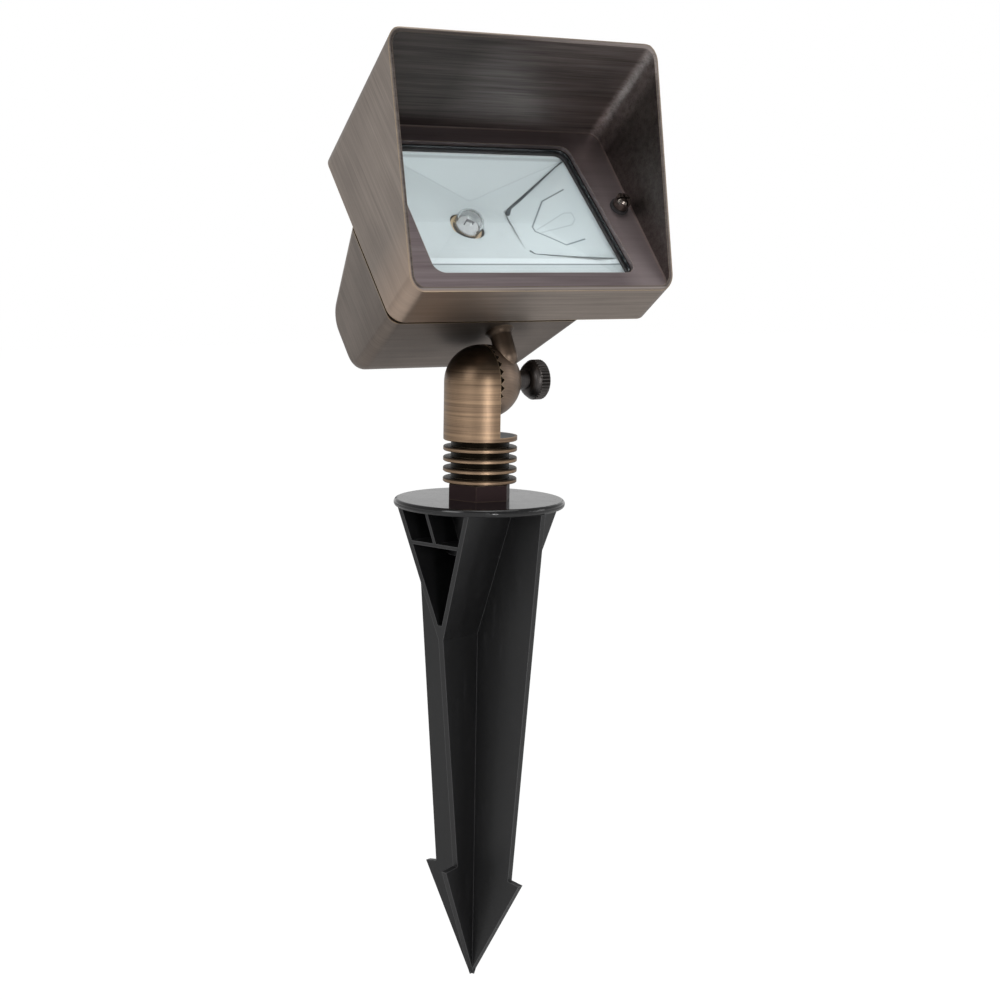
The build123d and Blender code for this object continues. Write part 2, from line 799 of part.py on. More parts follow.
with BuildPart() as lens_gasket:
    with BuildSketch(lamp_plane(lens_front)):
        with Locations((shroud_offset, lens_middle)):
            RectangleRounded(lens_width, lens_height, lens_corner)
    extrude(amount=gasket_thickness)
    with BuildSketch(lamp_plane(lens_front)) as lip:
        with BuildLine():
            Polyline(*window_points(gasket_lip), close=True)
        make_face()
        fillet(lip.vertices(), window_corner - gasket_lip)
    extrude(amount=gasket_thickness, mode=Mode.SUBTRACT)
lens_gasket.part.label = "lens_gasket"
export_step(lens_gasket.part, "parts/lens_gasket.step")

with BuildPart() as rear_gasket:
    with BuildSketch(lamp_plane(sleeve_front)):
        with Locations((shroud_offset, lens_middle)):
            RectangleRounded(lens_width, lens_height, lens_corner)
    extrude(amount=rear_gasket_thickness)
    with BuildSketch(lamp_plane(sleeve_front)) as rear_lip:
        with BuildLine():
            Polyline(*window_points(gasket_lip), close=True)
        make_face()
        fillet(rear_lip.vertices(), window_corner - gasket_lip)
    extrude(amount=rear_gasket_thickness, mode=Mode.SUBTRACT)
rear_gasket.part.label = "rear_gasket"
export_step(rear_gasket.part, "parts/rear_gasket.step")

# Bezel screws and their rubber washers
with BuildPart() as bezel_screws:
    with BuildSketch(lamp_plane(bezel_front + bezel_washer_thickness)):
        with Locations(*post_places):
            Circle(bezel_screw_head_radius)
    extrude(amount=bezel_screw_head_height)
    chamfer(bezel_screws.edges().group_by(Axis(pivot, forward))[-1], bezel_screw_head_break)
    with BuildSketch(lamp_plane(bezel_front + bezel_washer_thickness + bezel_screw_head_height)):
        with Locations(*post_places):
            Rectangle(2 * bezel_screw_head_radius, bezel_slot_width)
            Rectangle(bezel_slot_width, 2 * bezel_screw_head_radius)
    extrude(amount=-bezel_slot_depth, mode=Mode.SUBTRACT)
    with BuildSketch(lamp_plane(bezel_front + bezel_washer_thickness)):
        with Locations(*post_places):
            Circle(bezel_screw_shank)
    extrude(amount=-bezel_screw_length + cut_over)
bezel_screws.part.label = "bezel_screws"
export_step(bezel_screws.part, "parts/bezel_screws.step")

with BuildPart() as bezel_washers:
    with BuildSketch(lamp_plane(bezel_front)):
        with Locations(*post_places):
            Circle(bezel_washer_radius)
            Circle(bezel_screw_shank + running_gap, mode=Mode.SUBTRACT)
    extrude(amount=bezel_washer_thickness)
bezel_washers.part.label = "bezel_washers"
export_step(bezel_washers.part, "parts/bezel_washers.step")

# Reflector: a shallow hip-shaped trough of polished sheet with a hole for the lamp
reflector_front = sleeve_front - reflector_gap
trough_width = sleeve_width - 2 * reflector_gap
trough_height = sleeve_height - 2 * reflector_gap
apex_ahead = bezel_front - apex_depth
apex_place = (shroud_offset - apex_side, shroud_bottom + window_high - apex_drop)
lamp_place = (0, shroud_bottom + lamp_rise)
plate_right = shroud_offset + trough_width / 2 - 2 * reflector_sheet - reflector_gap
end_plate_high = window_high - end_plate_high_margin
end_plate_reach = plate_right - shroud_offset - end_plate_inner_side
plate_slope = Vector(-end_plate_reach, 0, 0) + forward * -end_plate_inner_depth
end_plane = Plane(
    origin=pivot + Vector(plate_right, 0, 0) + forward * (reflector_front - end_plate_lift),
    x_dir=plate_slope,
    z_dir=plate_slope.cross(upward) * -1,
)
plate_reach = plate_slope.length
clear_edge = plate_right + plate_clearance
side = 1 if end_plane.y_dir.dot(upward) > 0 else -1
tab_corners = [
    (across * end_plate_reach, side * (shroud_bottom + end_plate_low + up * (end_plate_high - end_plate_low)))
    for across, up in zip(tab_reach_shares, tab_rise_shares)
]

with BuildPart() as reflector:
    with BuildSketch(lamp_plane(reflector_front)):
        with Locations((shroud_offset, lens_middle)):
            Rectangle(trough_width, trough_height)
    extrude(amount=-reflector_sheet)
    for floor, edge in ((apex_ahead - reflector_sheet, reflector_sheet), (apex_ahead, 0)):
        with BuildSketch(lamp_plane(floor)):
            with Locations(apex_place):
                Rectangle(apex_land, apex_land)
        with BuildSketch(lamp_plane(reflector_front)):
            with Locations((shroud_offset, lens_middle + (flange_low - flange_high) / 2)):
                Rectangle(
                    trough_width - 2 * flange_side + 2 * edge,
                    trough_height - flange_low - flange_high + 2 * edge,
                )
        loft(mode=Mode.ADD if edge else Mode.SUBTRACT)
    with BuildSketch(lamp_plane(reflector_front)):
        with Locations(lamp_place):
            Circle(lamp_hole_radius)
    extrude(amount=-apex_depth, mode=Mode.SUBTRACT)
reflector.part.label = "reflector"
export_step(reflector.part, "parts/reflector.step")

# End plate over the right-hand part of the trough, with its pressed service tab
with BuildPart() as end_plate:
    with BuildSketch(end_plane) as plate_face:
        with BuildLine():
            Polyline(
                (clear_edge - window_side(end_plate_low), side * (shroud_bottom + end_plate_low)),
                (plate_reach, side * (shroud_bottom + end_plate_inner_low)),
                (plate_reach, side * (shroud_bottom + end_plate_inner_high)),
                (clear_edge - window_side(end_plate_high), side * (shroud_bottom + end_plate_high)),
                close=True,
            )
        make_face()
        fillet(plate_face.vertices().sort_by(Axis.X)[:2], end_plate_corner)
    extrude(amount=end_plate_sheet)
    with BuildSketch(end_plane):
        with BuildLine():
            Polyline(*tab_corners, close=True)
        outline = make_face()
        offset(outline, amount=-tab_slit, mode=Mode.SUBTRACT)
        hinge_line = [(tab_corners[n][0] + tab_slit / 2, tab_corners[n][1]) for n in (0, -1)]
        hinge_length = abs(hinge_line[0][1] - hinge_line[1][1]) - 4 * tab_slit
        with Locations((hinge_line[0][0], (hinge_line[0][1] + hinge_line[1][1]) / 2)):
            Rectangle(3 * tab_slit, hinge_length, mode=Mode.SUBTRACT)
    extrude(amount=end_plate_sheet, mode=Mode.SUBTRACT)
    with BuildSketch(end_plane.offset(end_plate_sheet)):
        with Locations(((tab_corners[0][0] + tab_corners[2][0]) / 2, tab_corners[2][1])):
            SlotOverall(tab_rib_length, tab_rib_width)
    extrude(amount=tab_rib_rise)
end_plate.part.label = "end_plate"
export_step(end_plate.part, "parts/end_plate.step")

# Lamp: a short capsule with a flattened pinch and two pins
capsule_front = lens_back - lamp_front_gap
capsule_back = capsule_front - lamp_length
with BuildPart() as lamp_capsule:
    with BuildSketch(lamp_plane(capsule_back)):
        with Locations(lamp_place):
            Circle(lamp_radius)
    extrude(amount=lamp_length)
    fillet(lamp_capsule.edges().group_by(Axis(pivot, forward))[-1], lamp_tip_round)
    offset(amount=-lamp_wall, openings=lamp_capsule.faces().sort_by(Axis(pivot, forward))[0])
    with BuildSketch(lamp_plane(capsule_back)):
        with Locations(lamp_place):
            Circle(lamp_radius - lamp_wall / 2)
    extrude(amount=lamp_wall)
    with BuildSketch(lamp_plane(capsule_back)):
        with Locations(lamp_place):
            Rectangle(pinch_width, pinch_height)
    extrude(amount=-holder_socket_depth)
lamp_capsule.part.label = "lamp_capsule"
export_step(lamp_capsule.part, "parts/lamp_capsule.step")

holder_front = capsule_back - face_gap
socket_floor = capsule_back - holder_socket_depth
holder_back = holder_front - holder_depth
with BuildPart() as lamp_pins:
    with BuildSketch(lamp_plane(socket_floor)):
        with Locations(lamp_place):
            with GridLocations(pin_spacing, 0, 2, 1):
                Circle(pin_radius)
    extrude(amount=-pin_length)
lamp_pins.part.label = "lamp_pins"
export_step(lamp_pins.part, "parts/lamp_pins.step")

with BuildPart() as lamp_holder:
    with BuildSketch(lamp_plane(holder_back)):
        with Locations(lamp_place):
            RectangleRounded(holder_width, holder_height, holder_corner)
    extrude(amount=holder_block_depth)
    with BuildSketch(lamp_plane(holder_back + holder_block_depth)):
        with Locations(lamp_place):
            Circle(holder_collar_radius)
    extrude(amount=holder_depth - holder_block_depth)
    with BuildSketch(lamp_plane(holder_front)):
        with Locations(lamp_place):
            Rectangle(pinch_width + 2 * reflector_gap, pinch_height + 2 * reflector_gap)
    extrude(amount=socket_floor - holder_front, mode=Mode.SUBTRACT)
    with BuildSketch(lamp_plane(socket_floor)):
        with Locations(lamp_place):
            with GridLocations(pin_spacing, 0, 2, 1):
                Circle(pin_radius + running_gap)
    extrude(amount=-pin_length, mode=Mode.SUBTRACT)
    with BuildSketch(lamp_plane(holder_back)):
        with Locations(lamp_place):
            with GridLocations(holder_screw_spread, 0, 2, 1):
                Circle(small_screw_radius + running_gap)
    extrude(amount=small_screw_length - bracket_sheet + running_gap, mode=Mode.SUBTRACT)
lamp_holder.part.label = "lamp_holder"
export_step(lamp_holder.part, "parts/lamp_holder.step")

# Bracket: a strip behind the holder, joggled forwards to the web of the housing
with BuildPart() as holder_bracket:
    with BuildSketch(side_plane):
        with BuildLine():
            Polyline(
                (holder_back, lamp_place[1] + holder_height / 2),
                (holder_back, foot_top - bracket_sheet),
                (web_back, foot_top - bracket_sheet),
                (web_back, bracket_low),
                (web_back - bracket_sheet, bracket_low),
                (web_back - bracket_sheet, foot_top - 2 * bracket_sheet),
                (holder_back - bracket_sheet, foot_top - 2 * bracket_sheet),
                (holder_back - bracket_sheet, lamp_place[1] + holder_height / 2),
                close=True,
            )
        make_face()
    extrude(amount=bracket_width / 2, both=True)
    shoulder = lamp_place[1] - holder_height
    with BuildSketch(lamp_plane(0)):
        with BuildLine():
            Polyline(
                (bracket_width / 2, lamp_place[1] + holder_height / 2),
                (bracket_width / 2, shoulder + bracket_sheet),
                (bracket_waist / 2, shoulder),
                (bracket_waist / 2, bracket_low),
                (0, bracket_low),
                (0, lamp_place[1] + holder_height / 2),
                close=True,
            )
        make_face()
        mirror(about=Plane.YZ)
    extrude(amount=shroud_height, mode=Mode.INTERSECT)
    with BuildSketch(lamp_plane(holder_back)):
        with Locations(lamp_place):
            with GridLocations(holder_screw_spread, 0, 2, 1):
                Circle(small_screw_radius + running_gap)
    extrude(amount=-2 * bracket_sheet, mode=Mode.SUBTRACT)
    with BuildSketch(lamp_plane(web_back)):
        with Locations(foot_screw_place):
            with GridLocations(foot_screw_spread, 0, 2, 1):
                Circle(small_screw_radius + running_gap)
    extrude(amount=-2 * bracket_sheet, mode=Mode.SUBTRACT)
holder_bracket.part.label = "holder_bracket"
export_step(holder_bracket.part, "parts/holder_bracket.step")

# Screws of the holder and of the bracket's foot: round heads with a cross slot, driven from behind
with BuildPart() as holder_screws:
    with BuildSketch(lamp_plane(holder_back - bracket_sheet)):
        with Locations(lamp_place):
            with GridLocations(holder_screw_spread, 0, 2, 1):
                Circle(small_head_radius)
    extrude(amount=-small_head_height)
    with BuildSketch(lamp_plane(holder_back - bracket_sheet - small_head_height)):
        with Locations(lamp_place):
            with GridLocations(holder_screw_spread, 0, 2, 1):
                Rectangle(small_head_radius, small_slot_width)
                Rectangle(small_slot_width, small_head_radius)
    extrude(amount=small_head_height / 2, mode=Mode.SUBTRACT)
    with BuildSketch(lamp_plane(holder_back - bracket_sheet)):
        with Locations(lamp_place):
            with GridLocations(holder_screw_spread, 0, 2, 1):
                Circle(small_screw_radius)
    extrude(amount=small_screw_length)
holder_screws.part.label = "holder_screws"
export_step(holder_screws.part, "parts/holder_screws.step")

with BuildPart() as bracket_screws:
    with BuildSketch(lamp_plane(web_back - bracket_sheet)):
        with Locations(foot_screw_place):
            with GridLocations(foot_screw_spread, 0, 2, 1):
                Circle(small_head_radius)
    extrude(amount=-small_head_height)
    with BuildSketch(lamp_plane(web_back - bracket_sheet - small_head_height)):
        with Locations(foot_screw_place):
            with GridLocations(foot_screw_spread, 0, 2, 1):
                Rectangle(small_head_radius, small_slot_width)
                Rectangle(small_slot_width, small_head_radius)
    extrude(amount=small_head_height / 2, mode=Mode.SUBTRACT)
    with BuildSketch(lamp_plane(web_back - bracket_sheet)):
        with Locations(foot_screw_place):
            with GridLocations(foot_screw_spread, 0, 2, 1):
                Circle(small_screw_radius)
    extrude(amount=web_plate_thickness + bracket_sheet - running_gap)
bracket_screws.part.label = "bracket_screws"
export_step(bracket_screws.part, "parts/bracket_screws.step")

# Two sleeved leads from the sides of the holder, past the bracket, down through the hollow nipple
tube_top = seal_top.offset(locknut_height + thread_stand).origin
lead_start = holder_back + holder_block_depth / 2
lead_knee = (lamp_place[1] + foot_top) / 2


def lead_point(x, ahead, rise):
    """Point of a lead from its X, its distance ahead of the pivot and its rise across the aim."""
    return Vector(x, 0, pivot_height) + forward * ahead + upward * rise


lead_runs = (
    (
        lead_point(holder_width / 2, lead_start, lamp_place[1]),
        lead_point(holder_width / 2 + lead_bow, lead_start, lamp_place[1]),
        lead_point(arm_x + lead_bow, holder_back, lead_knee),
    ),
    (
        lead_point(-holder_width / 2, lead_start, lamp_place[1]),
        lead_point(-holder_width / 2 - lead_bow, lead_start, lamp_place[1]),
        lead_point(-lead_bow, holder_back - lead_set_back, lamp_place[1] - holder_height),
        lead_point(arm_x, holder_back - holder_height / 2, lead_knee - holder_height / 2),
    ),
)
with BuildPart() as lamp_leads:
    for number, run in enumerate(lead_runs):
        end = tube_top + Vector(lead_spacing * (0.5 - number), 0, 0)
        along = foot_plane.z_dir * -1
        with BuildLine() as route:
            FilletPolyline(*run, end - along * lead_bow, end + along * lead_drop, radius=lead_bend)
        with BuildSketch(Plane(origin=run[0], z_dir=run[1] - run[0])):
            Circle(lead_radius)
        sweep(path=route.line)
lamp_leads.part.label = "lamp_leads"
export_step(lamp_leads.part, "parts/lamp_leads.step")
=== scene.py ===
import math

import bpy
from mathutils import Matrix, Vector


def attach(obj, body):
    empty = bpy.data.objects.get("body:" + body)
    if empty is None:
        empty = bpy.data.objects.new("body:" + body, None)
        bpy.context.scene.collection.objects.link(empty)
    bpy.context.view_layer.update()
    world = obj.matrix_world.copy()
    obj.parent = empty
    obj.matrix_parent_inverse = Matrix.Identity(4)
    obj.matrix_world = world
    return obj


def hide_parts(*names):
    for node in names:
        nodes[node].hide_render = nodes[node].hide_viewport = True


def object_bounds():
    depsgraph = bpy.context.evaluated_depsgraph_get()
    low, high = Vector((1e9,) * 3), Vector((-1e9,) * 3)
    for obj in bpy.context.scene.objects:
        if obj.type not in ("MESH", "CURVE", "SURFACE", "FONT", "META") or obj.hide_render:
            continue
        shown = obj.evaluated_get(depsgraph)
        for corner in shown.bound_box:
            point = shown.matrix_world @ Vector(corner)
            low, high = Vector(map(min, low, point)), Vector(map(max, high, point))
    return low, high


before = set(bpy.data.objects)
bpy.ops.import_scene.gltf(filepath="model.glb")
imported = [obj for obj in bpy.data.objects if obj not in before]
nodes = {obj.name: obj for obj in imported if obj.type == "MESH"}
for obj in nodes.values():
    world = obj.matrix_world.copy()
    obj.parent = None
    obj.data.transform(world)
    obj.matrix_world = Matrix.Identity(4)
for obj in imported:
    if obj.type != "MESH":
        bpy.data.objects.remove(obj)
cad_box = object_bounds()


# Ground spike: one injection moulding in black polypropylene, with ribs, barbs and a round flange that lies on
# the soil. It is satin where the mould was spark-eroded, and glossy on the flange's top, where it was polished.
class Shade:
    """A varying value in a node tree. Arithmetic on it adds Math nodes, so a mask reads like a formula."""

    def __init__(self, tree, socket):
        self.tree = tree
        self.socket = socket

    def maths(self, operation, *values):
        node = self.tree.nodes.new("ShaderNodeMath")
        node.operation = operation
        for slot, value in zip(node.inputs, values):
            if isinstance(value, Shade):
                self.tree.links.new(value.socket, slot)
            else:
                slot.default_value = value
        return Shade(self.tree, node.outputs[0])

    def __add__(self, other):
        return self.maths("ADD", self, other)

    __radd__ = __add__

    def __sub__(self, other):
        return self.maths("SUBTRACT", self, other)

    def __rsub__(self, other):
        return self.maths("SUBTRACT", other, self)

    def __mul__(self, other):
        return self.maths("MULTIPLY", self, other)

    __rmul__ = __mul__

    def __truediv__(self, other):
        return self.maths("DIVIDE", self, other)

    def __rtruediv__(self, other):
        return self.maths("DIVIDE", other, self)

    def __pow__(self, other):
        return self.maths("POWER", self, other)

    def __abs__(self):
        return self.maths("ABSOLUTE", self)

    def larger(self, other):
        return self.maths("MAXIMUM", self, other)

    def smaller(self, other):
        return self.maths("MINIMUM", self, other)

    def repeated(self, pitch):
        return self.maths("MODULO", self, pitch)

    def above(self, edge, soft):
        """0 well below the edge, 1 well above it, with a ramp of that width centred on it."""
        scaled = (self - (edge - soft / 2)) / soft
        return scaled.larger(0.0).smaller(1.0)

    def below(self, edge, soft):
        return 1.0 - self.above(edge, soft)

    def band(self, middle, width, soft):
        """1 within a band of that width, fading out over the soft width at both sides."""
        return abs(self - middle).below(width / 2 + soft / 2, soft)


class Nodes:
    """A node tree, to which nodes are added with their settings first and then their inputs."""

    def __init__(self, tree):
        self.tree = tree

    def add(self, kind, settings=None, inputs=None, output=0):
        node = self.tree.nodes.new(kind)
        for name, value in (settings or {}).items():
            setattr(node, name, value)
        for key, value in (inputs or {}).items():
            if isinstance(value, Shade):
                self.tree.links.new(value.socket, node.inputs[key])
            else:
                node.inputs[key].default_value = value
        return Shade(self.tree, node.outputs[output])


class Finish(Nodes):
    """A material with one shader."""

    def __init__(self, name, **constants):
        self.material = bpy.data.materials.new(name)
        self.material.use_nodes = True
        super().__init__(self.material.node_tree)
        self.shader = self.tree.nodes["Principled BSDF"]
        for socket, value in constants.items():
            self.shader.inputs[socket.replace("_", " ")].default_value = value

    def feed(self, socket, shade):
        self.tree.links.new(shade.socket, self.shader.inputs[socket])

    def lit(self):
        return Shade(self.tree, self.shader.outputs[0])

    def surface(self, shade):
        """Another closure in the place of the shader's own."""
        self.tree.links.new(shade.socket, self.tree.nodes["Material Output"].inputs[0])

    def point(self):
        """The point on the piece, in metres in the frame the object stands in at rest."""
        return self.add("ShaderNodeTexCoord", output="Object")

    def along(self, point, direction):
        """How far a point lies along a direction."""
        settings = {"operation": "DOT_PRODUCT"}
        return self.add("ShaderNodeVectorMath", settings, {0: point, 1: tuple(direction)}, "Value")

    def noise(self, spots, detail, roughness):
        inputs = {"Vector": spots, "Scale": 1.0, "Detail": detail, "Roughness": roughness}
        return self.add("ShaderNodeTexNoise", {}, inputs)

    def grain(self, point, cells, detail=3.0, roughness=0.5):
        """Noise with so many cells a metre, the same on every axis or one number for each."""
        rates = cells if isinstance(cells, tuple) else (cells, cells, cells)
        spots = self.add("ShaderNodeVectorMath", {"operation": "MULTIPLY"}, {0: point, 1: rates})
        return self.noise(spots, detail, roughness)

    def strokes(self, ways, cells, detail=5.0, roughness=0.62):
        """Noise drawn out along a way, with so many cells a metre along each of the three ways."""
        stretched = {axis: way * rate for axis, way, rate in zip("XYZ", ways, cells)}
        return self.noise(self.add("ShaderNodeCombineXYZ", {}, stretched), detail, roughness)

    def tint(self, amount, low, high):
        """A colour between two colours."""
        low, high = (value if isinstance(value, Shade) else (*value, 1.0) for value in (low, high))
        return self.add("ShaderNodeMix", {"data_type": "RGBA"}, {0: amount, 6: low, 7: high}, 2)

    def worn_edges(self, width, low=0.03, soft=0.1):
        """1 along sharp edges and corners, fading over that width."""
        rounded = self.add("ShaderNodeBevel", {"samples": 8}, {"Radius": width})
        true = self.add("ShaderNodeNewGeometry", output="Normal")
        same = self.add("ShaderNodeVectorMath", {"operation": "DOT_PRODUCT"}, {0: rounded, 1: true}, "Value")
        return (1.0 - same).above(low + soft / 2, soft)

    def relief(self, height, depth, **others):
        self.feed("Normal", self.add("ShaderNodeBump", {}, {"Height": height, "Distance": depth, **others}))

    def onto(self, *pieces):
        for piece in pieces:
            piece.data.materials.clear()
            piece.data.materials.append(self.material)


def break_edges(piece, width, steepest=35.0):
    """The small radius that a casting or moulding has on its edges."""
    bevel = piece.modifiers.new("broken_edges", "BEVEL")
    bevel.width = width
    bevel.segments = 2
    bevel.limit_method = "ANGLE"
    bevel.angle_limit = math.radians(steepest)
    bevel.harden_normals = True


spike_edge_radius = 0.0003
polish_start, polish_fade = 0.0008, 0.0006
ridge_width = 0.0006
moulding_relief = 0.00012
deep_black = (0.0030, 0.0030, 0.0033)
scuffed_black = (0.017, 0.017, 0.018)
ridge_highlight_grey = (0.085, 0.085, 0.088)

plastic = Finish("black_moulding", IOR=1.5)
point = plastic.point()
flow = plastic.grain(point, (160, 160, 12), 4.0)
speckle = plastic.grain(point, 2600, 2.0)
scuffs = plastic.grain(point, (420, 420, 60), 6.0, 0.7).above(0.62, 0.1)
sink = plastic.grain(point, 38, 2.0)
polished = plastic.along(point, (0, 0, 1)).above(polish_start, polish_fade)
# Painted highlight: a light grey along the sharp edges of the ribs and flange, where they catch the light.
ridge_highlights = plastic.worn_edges(ridge_width)
colour = plastic.tint(0.3 * flow + 0.3 * scuffs, deep_black, scuffed_black)
plastic.feed("Base Color", plastic.tint(ridge_highlights * 0.75 * (1.0 - polished), colour, ridge_highlight_grey))
plastic.feed("Roughness", 0.36 + 0.14 * flow + 0.1 * scuffs - 0.31 * polished - 0.08 * ridge_highlights)
plastic.relief((0.12 * speckle + 0.6 * flow) * (1.0 - polished) + 1.2 * sink * polished, moulding_relief)
plastic.onto(nodes["spike"])
break_edges(nodes["spike"], spike_edge_radius)

# Stem: a brass casting turned on a lathe, with a hexagon for a spanner, cooling rings and one half of the knuckle.
# It is blackened, then rubbed back with an abrasive pad along the turning marks, so that high spots show gold.
aim = math.radians(41.0)
forward = Vector((0, -math.cos(aim), math.sin(aim)))
upward = Vector((0, math.sin(aim), math.cos(aim)))
pivot = Vector((0, 0, 0.0555))
patina_gold = (0.55, 0.42, 0.27)
hexagon_top = 0.0106
lowest_ring, ring_pitch, ring_top_middle, ring_top_width = 0.0102, 0.00465, 0.0027, 0.0006
highest_ring_top, groove_top = 0.0310, 0.0322
groove_radius = 0.0154
dome_middle, dome_fade = 0.0580, 0.0130
turned_edge, turned_relief = 0.0006, 0.00003
blackened_bronze = (0.130, 0.086, 0.062)
rubbed_bronze = (0.390, 0.268, 0.170)
dome_shade_brown = (0.024, 0.017, 0.012)
groove_black = (0.008, 0.006, 0.004)
hexagon_brown = (0.040, 0.026, 0.027)

bronze = Finish("rubbed_bronze_turned", Metallic=1.0)
point = bronze.point()
height = bronze.along(point, (0, 0, 1))
fine = bronze.grain(point, (20, 20, 2400), 5.0, 0.62)
bands = bronze.grain(point, (9, 9, 560), 3.0)
clouds = bronze.grain(point, 60, 3.0)
level_point = bronze.add("ShaderNodeVectorMath", {"operation": "MULTIPLY"}, {0: point, 1: (1.0, 1.0, 0.0)})
axis_distance = bronze.add("ShaderNodeVectorMath", {"operation": "LENGTH"}, {0: level_point}, "Value")
rubbed = bronze.worn_edges(turned_edge)
hexagon = height.below(hexagon_top, 0.0004)
groove = axis_distance.below(groove_radius, 0.0005) * height.below(groove_top, 0.0002)
ring_top = (height - lowest_ring).repeated(ring_pitch).band(ring_top_middle, ring_top_width, 0.0003)
ring_top = ring_top * height.below(highest_ring_top, 0.0002) * height.above(hexagon_top, 0.0002)
tone = (0.5 * fine + 0.55 * bands - 0.02).above(0.49, 0.34)
colour = bronze.tint(tone, blackened_bronze, rubbed_bronze)
# Painted shade: the dome under the housing is painted dark brown.
colour = bronze.tint(height.above(dome_middle, dome_fade) * 0.95, colour, dome_shade_brown)
colour = bronze.tint(groove.larger(0.85 * ring_top), colour, groove_black)
colour = bronze.tint(hexagon * 0.94, colour, hexagon_brown)
gilt = rubbed * (0.45 - 0.36 * hexagon) * (1.0 - 0.8 * ring_top)
bronze.feed("Base Color", bronze.tint(gilt, colour, patina_gold))
bronze.feed("Roughness", 0.27 + 0.16 * fine + 0.08 * clouds + 0.1 * hexagon)
bronze.relief(fine + 0.8 * bands, turned_relief)
bronze.onto(nodes["stem"])

# Cable grommet: a bush of black rubber pressed into the stem's lower end, where the cord leaves. The seal of the
# arm, the washers of the bezel screws and the rear gasket are cut from the same rubber.
rubber_black = (0.010, 0.010, 0.011)
bloomed_black = (0.024, 0.024, 0.025)
rubber_relief = 0.00004

rubber = Finish("black_rubber", IOR=1.5)
point = rubber.point()
bloom = rubber.grain(point, 500, 4.0)
rubber.feed("Base Color", rubber.tint(bloom, rubber_black, bloomed_black))
rubber.feed("Roughness", 0.5 + 0.2 * bloom)
rubber.relief(rubber.grain(point, 3000, 2.0), rubber_relief)
rubber.onto(nodes["cable_grommet"], nodes["arm_seal"], nodes["bezel_washers"], nodes["rear_gasket"])

# Upper knuckle arm: the second brass casting, with its crown of teeth, a screw boss and a neck up to the housing.
# It has the same rubbed patina, brushed across the neck, which is painted dark as painted shade under the head.
arm_edge, arm_relief = 0.0006, 0.00003
neck_middle, neck_fade = 0.0680, 0.0100
blackened_arm = (0.120, 0.090, 0.072)
rubbed_arm = (0.285, 0.210, 0.158)
neck_shade_brown = (0.034, 0.024, 0.017)

arm_finish = Finish("rubbed_bronze_arm", Metallic=1.0)
point = arm_finish.point()
ways = [arm_finish.along(point, way) for way in ((1, 0, 0), forward, upward)]
across_neck = arm_finish.strokes(ways, (60, 60, 2000))
clouds = arm_finish.grain(point, 70, 3.0)
rubbed = arm_finish.worn_edges(arm_edge)
tone = (0.5 * across_neck + 0.5 * clouds).above(0.5, 0.4)
neck = arm_finish.along(point, (0, 0, 1)).above(neck_middle, neck_fade)
colour = arm_finish.tint(tone, blackened_arm, rubbed_arm)
# Painted shade: the neck under the head is painted dark brown, and shows less gold on its edges.
colour = arm_finish.tint(neck * 0.85, colour, neck_shade_brown)
arm_finish.feed("Base Color", arm_finish.tint(rubbed * (0.5 - 0.42 * neck), colour, patina_gold))
arm_finish.feed("Roughness", 0.33 + 0.2 * across_neck)
arm_finish.relief(across_neck, arm_relief)
arm_finish.onto(nodes["knuckle_arm"])

# Hollow nipple and locknut that hold the arm to the housing: plain turned brass, left bright, which is seen only
# when the lamp is taken apart.
brass_low = (0.52, 0.37, 0.15)
brass_high = (0.72, 0.55, 0.28)

plain_brass = Finish("turned_brass", Metallic=1.0)
point = plain_brass.point()
lathe = plain_brass.grain(point, (200, 2200, 2200), 4.0)
plain_brass.feed("Base Color", plain_brass.tint(lathe, brass_low, brass_high))
plain_brass.feed("Roughness", 0.22 + 0.18 * lathe)
plain_brass.onto(nodes["arm_nipple"], nodes["arm_locknut"])

# Washer and thumb screw of the knuckle: brass, turned and knurled, then chemically blackened to a dark gunmetal
# that has worn a little lighter on the edges.
gunmetal_edge, gunmetal_relief = 0.0005, 0.00002
gunmetal_dark = (0.040, 0.036, 0.036)
gunmetal_light = (0.115, 0.105, 0.100)
gunmetal_worn = (0.22, 0.20, 0.18)

gunmetal = Finish("blackened_brass", Metallic=1.0)
point = gunmetal.point()
turned = gunmetal.grain(point, (2600, 80, 80), 4.0)
rubbed = gunmetal.worn_edges(gunmetal_edge)
colour = gunmetal.tint(turned, gunmetal_dark, gunmetal_light)
gunmetal.feed("Base Color", gunmetal.tint(rubbed * 0.35, colour, gunmetal_worn))
gunmetal.feed("Roughness", 0.3 + 0.15 * turned)
gunmetal.relief(turned, gunmetal_relief)
gunmetal.onto(nodes["clamp_washer"], nodes["thumb_screw"])

# Housing: a hollow brass casting behind the lower half of the lamp. It is brushed round its girth and has the
# same patina, with painted shade darkening its underside and its far side.
housing_edge, housing_relief = 0.0012, 0.000025
underside_edge, underside_fade = 0.0700, 0.0200
far_side_middle, far_side_fade = 0.0330, 0.0340
blackened_housing = (0.145, 0.122, 0.106)
rubbed_housing = (0.285, 0.242, 0.210)
underside_shade_brown = (0.100, 0.074, 0.057)
far_side_shade_brown = (0.070, 0.056, 0.048)

housing_finish = Finish("rubbed_bronze_housing", Metallic=1.0)
point = housing_finish.point()
ahead = housing_finish.along(point, forward)
rise = housing_finish.along(point, upward)
across = housing_finish.along(point, (1, 0, 0))
fine = housing_finish.strokes((across, rise, ahead), (30, 30, 2300))
bands = housing_finish.strokes((across, rise, ahead), (14, 14, 420), 3.0)
clouds = housing_finish.grain(point, 38, 4.0)
rubbed = housing_finish.worn_edges(housing_edge)
tone = (0.4 * fine + 0.3 * bands + 0.3 * clouds).above(0.5, 0.3)
